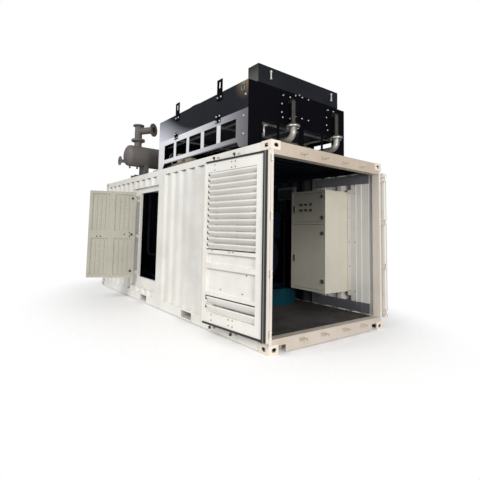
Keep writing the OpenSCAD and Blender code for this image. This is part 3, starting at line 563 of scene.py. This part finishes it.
def round_rod(shape, points, radius, steps=10):
    """A round rod along a row of points, capped at both ends."""
    points = [Vector(point) for point in points]
    rings = []
    for k, point in enumerate(points):
        along = points[min(k + 1, len(points) - 1)] - points[max(k - 1, 0)]
        along.normalize()
        side = along.orthogonal() if k == 0 else side - along * side.dot(along)
        side.normalize()
        other = along.cross(side)
        rings.append([shape.verts.new(point + (side * c + other * s) * radius)
                      for c, s in circle(steps)])
    for first, second in zip(rings, rings[1:]):
        for k in range(steps):
            after = (k + 1) % steps
            shape.faces.new((first[k], first[after], second[after], second[k]))
    shape.faces.new(rings[0][::-1])
    shape.faces.new(rings[-1])


def ring_points(center, radius, axis, steps):
    """Evenly spaced points on a circle round an axis."""
    axis = Vector(axis)
    side = axis.orthogonal().normalized()
    other = axis.cross(side)
    return [Vector(center) + (side * c + other * s) * radius for c, s in circle(steps)]


def soft_box(shape, low, high, edge):
    """A box from its lower to its upper corner, with its edges rounded off."""
    made = bmesh.ops.create_cube(shape, size=1.0)["verts"]
    middle, size = (Vector(low) + Vector(high)) / 2, Vector(high) - Vector(low)
    for corner in made:
        corner.co = Vector(c * s for c, s in zip(corner.co, size)) + middle
    edges = list(dict.fromkeys(line for corner in made for line in corner.link_edges))
    bmesh.ops.bevel(shape, geom=edges, offset=edge, segments=2, affect="EDGES",
                    profile=0.6)


def boxes(*rows):
    """A build function that draws a soft box for each (low, high, edge)."""
    def build(shape):
        for low, high, edge in rows:
            soft_box(shape, low, high, edge)
    return build


def group_of_four(across, up):
    """The corners of a group of four bolts, from its middle."""
    return [(a * across, b * up) for a in (-1, 1) for b in (-1, 1)]


# Bolts and nuts
def build_bolt_head():
    """Hexagon head with a chamfered top on a washer, one metre in radius."""
    def build(shape):
        spin_profile(shape, [(1.0, -0.1), (1.0, 0.14), (0.92, 0.2), (0.0, 0.2)], 20)
        spin_profile(shape, [(0.76, 0.1), (0.76, 0.62), (0.62, 0.74), (0.0, 0.78)], 6)
    return mesh_of("bolt_head", build)


def build_fastener_field():
    """Puts a bolt head on every point, along its own direction, with a random turn."""
    tree = bpy.data.node_groups.new("fastener_field", "GeometryNodeTree")
    for label, kind in (("Geometry", "Geometry"), ("Head", "Object"), ("Size", "Float"),
                        ("Turn seed", "Int"), ("Finish", "Material")):
        tree.interface.new_socket(label, in_out="INPUT", socket_type="NodeSocket" + kind)
    tree.interface.new_socket("Geometry", in_out="OUTPUT",
                              socket_type="NodeSocketGeometry")
    given = tree.nodes.new("NodeGroupInput").outputs
    out = tree.nodes.new("NodeGroupOutput").inputs
    way = add(tree, "GeometryNodeInputNamedAttribute", data_type="FLOAT_VECTOR",
              Name="out")
    align = add(tree, "FunctionNodeAlignRotationToVector", axis="Z",
                Vector=way.outputs["Attribute"])
    turn = add(tree, "FunctionNodeRandomValue", data_type="FLOAT",
               Seed=given["Turn seed"])
    turn.inputs[3].default_value = math.pi / 3
    spin = add(tree, "FunctionNodeAxisAngleToRotation", Axis=UP, Angle=turn.outputs[1])
    turned = add(tree, "FunctionNodeRotateRotation", rotation_space="LOCAL",
                 Rotation=align.outputs["Rotation"])
    feed(tree, turned.inputs["Rotate By"], spin.outputs["Rotation"])
    head = add(tree, "GeometryNodeObjectInfo", Object=given["Head"])
    placed = add(tree, "GeometryNodeInstanceOnPoints", Points=given["Geometry"],
                 Instance=head.outputs["Geometry"], Rotation=turned.outputs["Rotation"],
                 Scale=given["Size"])
    real = add(tree, "GeometryNodeRealizeInstances", Geometry=placed.outputs["Instances"])
    done = add(tree, "GeometryNodeSetMaterial", Geometry=real.outputs["Geometry"],
               Material=given["Finish"])
    feed(tree, out["Geometry"], done.outputs["Geometry"])
    return tree


fastener_field = build_fastener_field()
bolt_head = bpy.data.objects.new("bolt_head", build_bolt_head())


def fasteners(name, spots, size, material, body):
    """One piece with a bolt head at each spot: (point, direction it faces)."""
    cloud = bpy.data.meshes.new(name + "_spots")
    cloud.from_pydata([tuple(point) for point, way in spots], [], [])
    ways = cloud.attributes.new("out", "FLOAT_VECTOR", "POINT")
    for item, (point, way) in zip(ways.data, spots):
        item.vector = way
    holder = bpy.data.objects.new(name + "_spots", cloud)
    scene.collection.objects.link(holder)
    field = holder.modifiers.new("fastener_field", "NODES")
    field.node_group = fastener_field
    values = {"Head": bolt_head, "Size": size, "Turn seed": 7, "Finish": material}
    for item in fastener_field.interface.items_tree:
        if item.in_out == "INPUT" and item.name in values:
            field[item.identifier] = values[item.name]
    bpy.context.view_layer.update()
    graph = bpy.context.evaluated_depsgraph_get()
    mesh = bpy.data.meshes.new_from_object(holder.evaluated_get(graph))
    holder.modifiers.remove(field)
    bpy.data.objects.remove(holder)
    return piece(name, mesh, material, body)


def facing(way, points):
    """Spots for fasteners that all face one way."""
    return [(point, way) for point in points]


# Doors
def leaf_frame(joint, mirror=1):
    """Takes a point on a shut leaf, from the foot of its hinge line, to its place on
    the open leaf, where it is at rest. The far leaf mirrors the near one."""
    turn = Matrix.Rotation(-math.radians(joint["range_deg"][1]), 4, "Z")
    hinge = Matrix.Translation((joint["pos_m"][0], joint["pos_m"][1] * mirror, 0))
    return Matrix.Diagonal((1, mirror, 1, 1)) @ hinge @ turn


def dress_end_door(name, mirror):
    """Nuts of the lock rods' guides on the leaf's inner face, a black strip of painted shadow
    by each louvre bank, painted shade in the gaps at the slats' ends, the rods' cams and the
    broad hinge seal. Points are out of the container, across from the hinge line and up."""
    leaf, body = leaf_frame(joints[name + "_hinge"], mirror), name + "_leaf"
    inner_face, recess = -0.045, -0.008
    nuts = []
    for z in (2.339, 0.273):
        nuts += [(inner_face, 0.630 + dy, z + dz) for dy, dz in group_of_four(0.036, 0.037)]
        nuts += [(inner_face, 1.009, z + dz) for dz in (-0.036, 0.036)]
    nuts += [(inner_face, y, 1.175) for y in (0.608, 0.679, 1.025)]
    nuts += [(recess, y, z) for y, z in ((0.873, 0.664), (0.388, 0.900), (0.459, 0.661))]
    inwards = leaf.to_3x3() @ Vector((-1, 0, 0))
    fasteners(name + "_nuts", facing(inwards, [leaf @ Vector(nut) for nut in nuts]),
              0.0095, dull_steel, body)

    # Painted shadow: a black strip by each louvre bank and black wedges in the open ends of the
    # slats
    def build_louvre_shadows(shape):
        bank_start, bank_end, gap_tip = 0.210, 1.145, 1.114
        for z in (1.196, 0.554):
            soft_box(shape, (inner_face - 0.0015, bank_start, z - 0.007),
                     (inner_face + 0.001, bank_end, z + 0.007), 0.0008)
        for foot, height, count, half in ((1.200, 1.075, 13, 0.026),
                                          (0.325, 0.225, 2, 0.024)):
            for slat in range(count):
                z = foot + height * (slat + 0.74) / count
                gap = [(bank_end, z + half), (bank_end, z - half),
                       (gap_tip, z - half * 0.8)]
                shallow, deep = [[shape.verts.new((inner_face + depth, *corner))
                                  for corner in gap] for depth in (0.001, 0.004)]
                shape.faces.new(shallow)
                shape.faces.new(deep[::-1])
                for k in range(3):
                    shape.faces.new([shallow[k - 1], deep[k - 1], deep[k], shallow[k]])
    fitting(name + "_joints", build_louvre_shadows, black_steel, body, place=leaf)

    # The rods' cams are real parts; their black is partly their own and partly painted shade
    # round them
    cams = []
    for y in (0.660, 1.079):
        for foot, top, pin_foot, pin_top in ((0.104, 0.138, 0.104, 0.170),
                                             (2.472, 2.504, 2.440, 2.504)):
            cams += [((-0.024, y - 0.013, foot), (0.004, y + 0.013, top), 0.003),
                     ((-0.008, y - 0.006, pin_foot), (0.002, y + 0.006, pin_top), 0.002)]
    fitting(name + "_cams", boxes(*cams), black_steel, body, place=leaf)
    seal = ((inner_face - 0.0126, 0.0325, 0.1685), (inner_face + 0.001, 0.100, 2.4385),
            0.003)
    fitting(name + "_hinge_seal", boxes(seal), finish["rubber_black"], body,
            place=leaf)


def dress_keepers():
    """Black boxes of painted shade in the slot of each lock rod's keeper on the sill and the
    header.
    """
    slot_shades = []
    for y in (-0.652, -0.233, 0.233, 0.652):
        for z in (0.128, 2.486):
            slot_shades += [((3.000, y - 0.023, z - 0.016), (3.018, y + 0.023, z + 0.004), 0.002),
                      ((3.000, y - 0.007, z - 0.026), (3.020, y + 0.007, z + 0.016), 0.002)]
    fitting("keeper_slots", boxes(*slot_shades), black_steel, "container")


def dress_side_door():
    """Plugged holes, bolts and round hinge caps of the walk-in door. Points are
    across from the hinge line, into the container and up."""
    leaf = leaf_frame(joints["side_door_hinge"])
    low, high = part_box("side_door_leaf")
    face, sunk_face = 0.052, 0.038
    inwards = leaf.to_3x3() @ Vector((0, 1, 0))
    plugs = [(0.785, 1.274), (0.716, 1.275), (0.235, 1.328), (0.131, 1.360), (0.131, 1.290)]
    fasteners("side_door_plugs",
              facing(inwards, [leaf @ Vector((x, face, z)) for x, z in plugs]),
              0.013, black_steel, "side_door")
    heights = (high.z - 0.15, high.z - 0.21, low.z + 0.16)
    bolts = [leaf @ Vector((x, sunk_face, z)) for x in (0.26, 0.33, 0.74, 0.81)
             for z in heights]
    fasteners("side_door_bolts", facing(inwards, bolts), 0.006, dull_steel, "side_door")

    def build_caps(shape):
        cap = [(0.025, -0.002), (0.025, 0.004), (0.022, 0.006), (0.0, 0.007)]
        towards_room = Matrix.Rotation(-math.pi / 2, 4, "X")
        for z in (low.z + 0.139, (low.z + high.z) / 2, high.z - 0.135):
            place = leaf @ Matrix.Translation((0.089, face, z)) @ towards_room
            spin_profile(shape, cap, 28, place)
    fitting("side_door_caps", build_caps, black_steel, "side_door",
            smooth=True)


# Roof
def dress_cooler_side(low, high, seam):
    """Joint plates and bolts on the roof cooler's near side."""
    near, joint_places = low.y, (0.410, 1.729)
    plates = [((x - 0.068, near - 0.006, seam - 0.065), (x + 0.068, near + 0.001, seam + 0.065),
               0.002) for x in joint_places]
    fitting("cooler_joint_plates", boxes(*plates), finish["black_paint"], "container")
    spots = [(x + dx, near - 0.006, seam + dz) for x in joint_places
             for dx, dz in group_of_four(0.044, 0.040)]
    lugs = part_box("cooler_lugs")
    for x in (lugs[0].x + 0.065, lugs[1].x - 0.065):
        spots += [(x + dx, near - 0.014, lugs[0].z + 0.045) for dx in (-0.044, 0.044)]
    spots += [(x, near, seam + 0.20) for x in (high.x - 0.05, low.x + 0.05)]
    spots += [(high.x - 0.09, near, z) for z in (seam - 0.10, seam - 0.36)]
    fasteners("cooler_side_bolts", facing(NEARWARDS, spots), 0.016, silver, "container")


def dress_cooler_end(low, high, seam):
    """Cover plates on the cooler's end, the closing sheet behind its blind end, the
    braces inside its base, and the bolts round the cover plates."""
    face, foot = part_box("cooler_ends")[1].x + 0.008, 3.155
    covers = [((face - 0.009, first, foot), (face, last, top), 0.002)
              for first, last, top in ((-0.455, 0.170, 3.590), (0.596, 0.900, 3.535))]
    fitting("cooler_cover_plates", boxes(*covers), finish["black_paint"], "container")
    back = ((low.x + 0.012, low.y + 0.02, 2.722),
            (low.x + 0.016, -low.y - 0.02, seam - 0.065), 0.0005)
    fitting("cooler_back_sheet", boxes(back), finish["black_paint"], "container")
    braces = [((x, low.y + 0.006, seam - 0.092), (x + 0.03, -low.y - 0.006, seam - 0.062),
               0.002) for x in (low.x + 0.70, low.x + 1.90, low.x + 2.475)]
    braces += [((low.x + 0.006, y - 0.015, seam - 0.0915),
                (high.x - 0.006, y + 0.015, seam - 0.0625), 0.002) for y in (-0.9, 0.0, 0.9)]
    fitting("cooler_braces", boxes(*braces), brace_paint, "container")
    wide_cover = [(-0.411, 3.516), (-0.265, 3.516), (-0.142, 3.574), (-0.055, 3.600),
                  (0.012, 3.577), (0.156, 3.573), (-0.440, 3.379), (-0.440, 3.247),
                  (-0.421, 3.172), (-0.267, 3.182), (-0.143, 3.238), (0.006, 3.237),
                  (0.156, 3.235)]
    narrow_cover = [(0.647, 3.514), (0.793, 3.518), (0.875, 3.465), (0.612, 3.38),
                    (0.612, 3.25), (0.637, 3.17), (0.818, 3.174)]
    spots = [(face, y, z) for y, z in wide_cover + narrow_cover]
    fasteners("cooler_cover_bolts", facing(ENDWARDS, spots), 0.0125, silver, "container")


def dress_cooler_fittings(low, high):
    """Level gauges on the header tank, a lifting shackle and a short vent pipe."""
    tank_low, tank_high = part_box("header_tank")

    def build_gauges(shape):
        glass = [(0.0, 0.0), (0.017, 0.0), (0.017, 0.022), (0.011, 0.026), (0.011, 0.104),
                 (0.017, 0.108), (0.017, 0.130), (0.0, 0.130)]
        x, middle = tank_high.x + 0.024, (tank_low.z + tank_high.z) / 2 + 0.015
        for y in (-0.686, 0.715):
            spin_profile(shape, glass, 18, Matrix.Translation((x, y, middle - 0.065)))
            for z in (middle - 0.054, middle + 0.054):
                round_rod(shape, [(tank_high.x - 0.004, y, z), (x, y, z)], 0.009)
    fitting("level_gauges", build_gauges, gauge_glass, "container",
            smooth=True)

    def build_shackle(shape):
        x, y, z = high.x - 0.096, low.y - 0.012, high.z - 0.05
        bow = [(x - 0.024, y, z), (x - 0.030, y, z - 0.05)]
        for k in range(1, 10):
            angle = math.pi * k / 10
            bow.append((x - 0.030 * math.cos(angle), y, z - 0.05 - 0.052 * math.sin(angle)))
        bow += [(x + 0.030, y, z - 0.05), (x + 0.024, y, z)]
        round_rod(shape, bow, 0.008)
        round_rod(shape, [(x - 0.045, y, z), (x + 0.045, y, z)], 0.010)
        soft_box(shape, (x - 0.012, y - 0.006, z - 0.015),
                 (x + 0.012, low.y + 0.001, z + 0.025), 0.002)
    fitting("lifting_shackle", build_shackle, dull_steel, "container",
            smooth=True)

    def build_vent(shape):
        x, y = high.x + 0.03, -0.82
        round_rod(shape, [(x, y, 2.81), (x, y, 2.97)], 0.014)
        round_rod(shape, [(x, y, 2.96), (x, y + 0.03, 2.975), (x, y + 0.06, 2.975)], 0.016)
        round_rod(shape, [(x - 0.04, y, 2.84), (x, y, 2.84)], 0.012)
    fitting("vent_pipe", build_vent, finish["zinc_steel"], "container",
            smooth=True)


def dress_cooler():
    """The roof cooler's fittings. The seam is where its casing stands on its base."""
    low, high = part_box("cooler_near_side")
    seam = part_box("cooler_core")[0].z + 0.012
    dress_cooler_side(low, high, seam)
    dress_cooler_end(low, high, seam)
    dress_cooler_fittings(low, high)


def flange_bolts(center, radius, count, thick):
    """Bolts on the upper face of a level flange pair, then on its lower face."""
    ring = ring_points(center, radius, UP, count)
    return facing(UP, ring) + facing(DOWN, [point - Vector((0, 0, thick)) for point in ring])


def dress_pipes():
    """Bolts through the flange pairs of the silencer's neck and the water pipes."""
    fasteners("neck_flange_bolts", flange_bolts((-1.33, -1.117, 3.452), 0.125, 12, 0.044),
              0.012, dull_steel, "container")
    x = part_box("cooler_ends")[1].x + 0.076
    spots = [spot for y in (-0.275, 0.765)
             for spot in flange_bolts((x, y, 3.048), 0.075, 4, 0.0364)]
    fasteners("water_flange_bolts", spots, 0.012, silver, "container")


def dress_roof_pipes():
    """Low pipework on the roof under the cooler: pipe, pot, block and feet, then the
    valve's hand wheel and the pot's lid."""
    y, z, roof = -0.870, 2.705, 2.577
    pot_x = 0.24
    hub = Vector((-0.15, y, 2.895))

    def build_pipework(shape):
        round_rod(shape, [(-0.28, y, z), (0.70, y, z)], 0.045, 28)
        spin_profile(shape, [(0.0, 0.0), (0.090, 0.0), (0.090, 0.260), (0.0, 0.260)], 36,
                     Matrix.Translation((pot_x, y, 2.605)))
        soft_box(shape, (0.46, y - 0.06, z - 0.04), (0.67, y + 0.06, z + 0.06), 0.006)
        for x in (-0.18, 0.10, 0.56):
            soft_box(shape, (x - 0.029, y - 0.05, roof), (x + 0.029, y + 0.05, z - 0.02),
                     0.003)
    fitting("roof_pipework", build_pipework, pot_paint, "container")

    def build_wheel(shape):
        rim = ring_points(hub, 0.080, (0.35, -0.93, 0.1), 28)
        round_rod(shape, rim + rim[:1], 0.008)
        for point in rim[::7]:
            round_rod(shape, [hub, point], 0.006, 8)
        round_rod(shape, [(hub.x, y, 2.74), (hub.x, y, 2.91)], 0.014)
    fitting("valve_wheel", build_wheel, silver, "container", smooth=True)

    def build_lid(shape):
        dome = [(0.0, 0.0), (0.096, 0.0), (0.096, 0.012), (0.085, 0.03), (0.0, 0.042)]
        spin_profile(shape, dome, 36, Matrix.Translation((pot_x, y, 2.862)))
    fitting("pot_lid", build_lid, pot_paint, "container", smooth=True)


# Inside
def dress_cabinet():
    """Bolts down the cabinet's flange, barrels over its hinges, rings round its
    buttons."""
    low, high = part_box("cabinet_brackets")
    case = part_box("cabinet_case")
    x = min(case[1].x + 0.040, high.x - 0.012)
    spots = [(x, low.y, z) for z in (2.147, 1.732, 1.322, 0.913, 0.512)]
    fasteners("cabinet_flange_bolts", facing(NEARWARDS, spots), 0.009, dull_steel,
              "container")
    barrel = [(0.0, -0.027), (0.020, -0.027), (0.020, 0.027), (0.0, 0.027)]
    for door, heights in (("upper", (2.058, 1.712)), ("lower", (1.454, 0.678))):
        axis = joints["cabinet_%s_hinge" % door]["pos_m"]

        def build_barrels(shape):
            for z in heights:
                place = Matrix.Translation((axis[0], axis[1], z))
                spin_profile(shape, barrel, 28, place)
        fitting("cabinet_%s_hinge_barrels" % door, build_barrels, black_steel,
                "cabinet_" + door)
    first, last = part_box("cabinet_buttons")

    def build_rings(shape):
        ring = [(0.023, -0.002), (0.023, 0.004), (0.020, 0.006), (0.0165, 0.006)]
        for x in (first.x + 0.016, (first.x + last.x) / 2, last.x - 0.016):
            for z in (first.z + 0.016, last.z - 0.016):
                place = Matrix.Translation((x, last.y, z))
                spin_profile(shape, ring, 24, place @ Matrix.Rotation(math.pi / 2, 4, "X"))
    fitting("button_rings", build_rings, black_steel, "cabinet_upper",
            smooth=True)


def dress_far_wall():
    """Stepped frame round the cabinet's place, and a control box with conduits."""
    wall, step = 1.174, 0.012
    rims = [((1.700 + across, 2.845 - across), (0.190 + up, 2.450 - up)) for across, up in
            ((0.0, 0.0), (0.125, 0.042), (0.215, 0.102), (0.310, 0.160))]
    bars = []
    for k, ((x, z), (next_x, next_z)) in enumerate(zip(rims, rims[1:])):
        for bar_x, bar_z in (((x[0], next_x[0]), z), ((next_x[1], x[1]), z),
                             (next_x, (z[0], next_z[0])), (next_x, (next_z[1], z[1]))):
            bars.append(((bar_x[0], wall - step * (k + 1), bar_z[0]),
                         (bar_x[1], wall, bar_z[1]), 0.002))
    fitting("far_wall_frame", boxes(*bars), frame_paint, "container")
    spots = [(2.61, wall - 3 * step, z) for z in (2.27, 2.13, 1.316, 0.514, 0.37)]
    fasteners("frame_bolts", facing(NEARWARDS, spots), 0.010, dull_steel, "container")

    def build_box(shape):
        soft_box(shape, (0.87, wall - 0.074, 2.100), (1.30, wall, 2.355), 0.006)
        upright, level = wall - 0.016, wall - 0.040
        round_rod(shape, [(1.000, upright, 0.20), (1.000, upright, 2.11)], 0.016, 20)
        round_rod(shape, [(0.65, level, 1.730), (1.15, level, 1.730)], 0.016, 20)
    fitting("control_box", build_box, box_paint, "container")
    face = ((0.905, wall - 0.080, 2.135), (1.265, wall - 0.070, 2.320), 0.003)
    fitting("control_box_face", boxes(face), black_steel, "container")


# Studio
def build_floor():
    """Pale floor that keeps the shadow and fades away well clear of the box."""
    reach, fade_start, fade_end = 60, 1.9, 3.6
    mesh = bpy.data.meshes.new("studio_floor")
    mesh.from_pydata([(-reach, -reach, 0), (reach, -reach, 0), (reach, reach, 0),
                      (-reach, reach, 0)], [], [(0, 1, 2, 3)])
    floor = bpy.data.objects.new("studio_floor", mesh)
    scene.collection.objects.link(floor)
    material = bpy.data.materials.new("studio_floor")
    material.use_nodes = True
    tree = material.node_tree
    shader = tree.nodes["Principled BSDF"]
    shader.inputs["Base Color"].default_value = (0.92, 0.92, 0.92, 1)
    shader.inputs["Roughness"].default_value = 0.95
    place = add(tree, "ShaderNodeTexCoord").outputs["Object"]
    oval = add(tree, "ShaderNodeMapping", Vector=place, Scale=(0.75, 1.0, 1.0))
    away = vector_math(tree, "LENGTH", oval.outputs["Vector"])
    clear = add(tree, "ShaderNodeBsdfTransparent")
    mix = add(tree, "ShaderNodeMixShader", Fac=ramp(tree, away, fade_start, fade_end))
    feed(tree, mix.inputs[1], shader.outputs["BSDF"])
    feed(tree, mix.inputs[2], clear.outputs["BSDF"])
    feed(tree, tree.nodes["Material Output"].inputs["Surface"], mix.outputs["Shader"])
    mesh.materials.append(material)


def build_sky():
    """Soft bluish light from all round, in front of a backdrop that shows white."""
    world = bpy.data.worlds.new("studio_sky")
    scene.world = world
    world.use_nodes = True
    tree = world.node_tree
    sky = tree.nodes["Background"]
    sky.inputs["Color"].default_value = (0.93, 0.96, 1.0, 1)
    sky.inputs["Strength"].default_value = 0.42
    white = add(tree, "ShaderNodeBackground", Strength=1.0, Color=(1, 1, 1, 1))
    rays = add(tree, "ShaderNodeLightPath").outputs
    seen = math_node(tree, "MAXIMUM", rays["Is Camera Ray"], rays["Is Transmission Ray"])
    mix = add(tree, "ShaderNodeMixShader", Fac=seen)
    feed(tree, mix.inputs[1], sky.outputs["Background"])
    feed(tree, mix.inputs[2], white.outputs["Background"])
    feed(tree, tree.nodes["World Output"].inputs["Surface"], mix.outputs["Shader"])


def lamp(name, place, aim, size, power, color):
    """A square lamp that points from its place at its aim."""
    data = bpy.data.lights.new(name, "AREA")
    data.size, data.energy, data.color = size, power, color
    made = bpy.data.objects.new(name, data)
    scene.collection.objects.link(made)
    made.location = place
    made.rotation_euler = (Vector(aim) - Vector(place)).to_track_quat("-Z", "Y").to_euler()


# The scene
place_camera()
dress_end_door("near_end_door", 1)
dress_end_door("far_end_door", -1)
dress_keepers()
dress_side_door()
dress_cooler()
dress_pipes()
dress_cabinet()
dress_roof_pipes()
dress_far_wall()
build_floor()
build_sky()
lamp("near_side_lamp", (2, -14, 10), (0.0, -1, 1.5), 7.0, 1500, (1.0, 0.99, 0.97))
lamp("door_end_lamp", (13, -2, 6), (3, 0, 1.3), 5.0, 380, (1.0, 0.93, 0.86))
lamp("doorway_lamp", (9.5, -3.0, 1.9), (2.6, 0.7, 1.2), 2.0, 330, (1.0, 0.97, 0.93))
scene.view_settings.view_transform = "Standard"
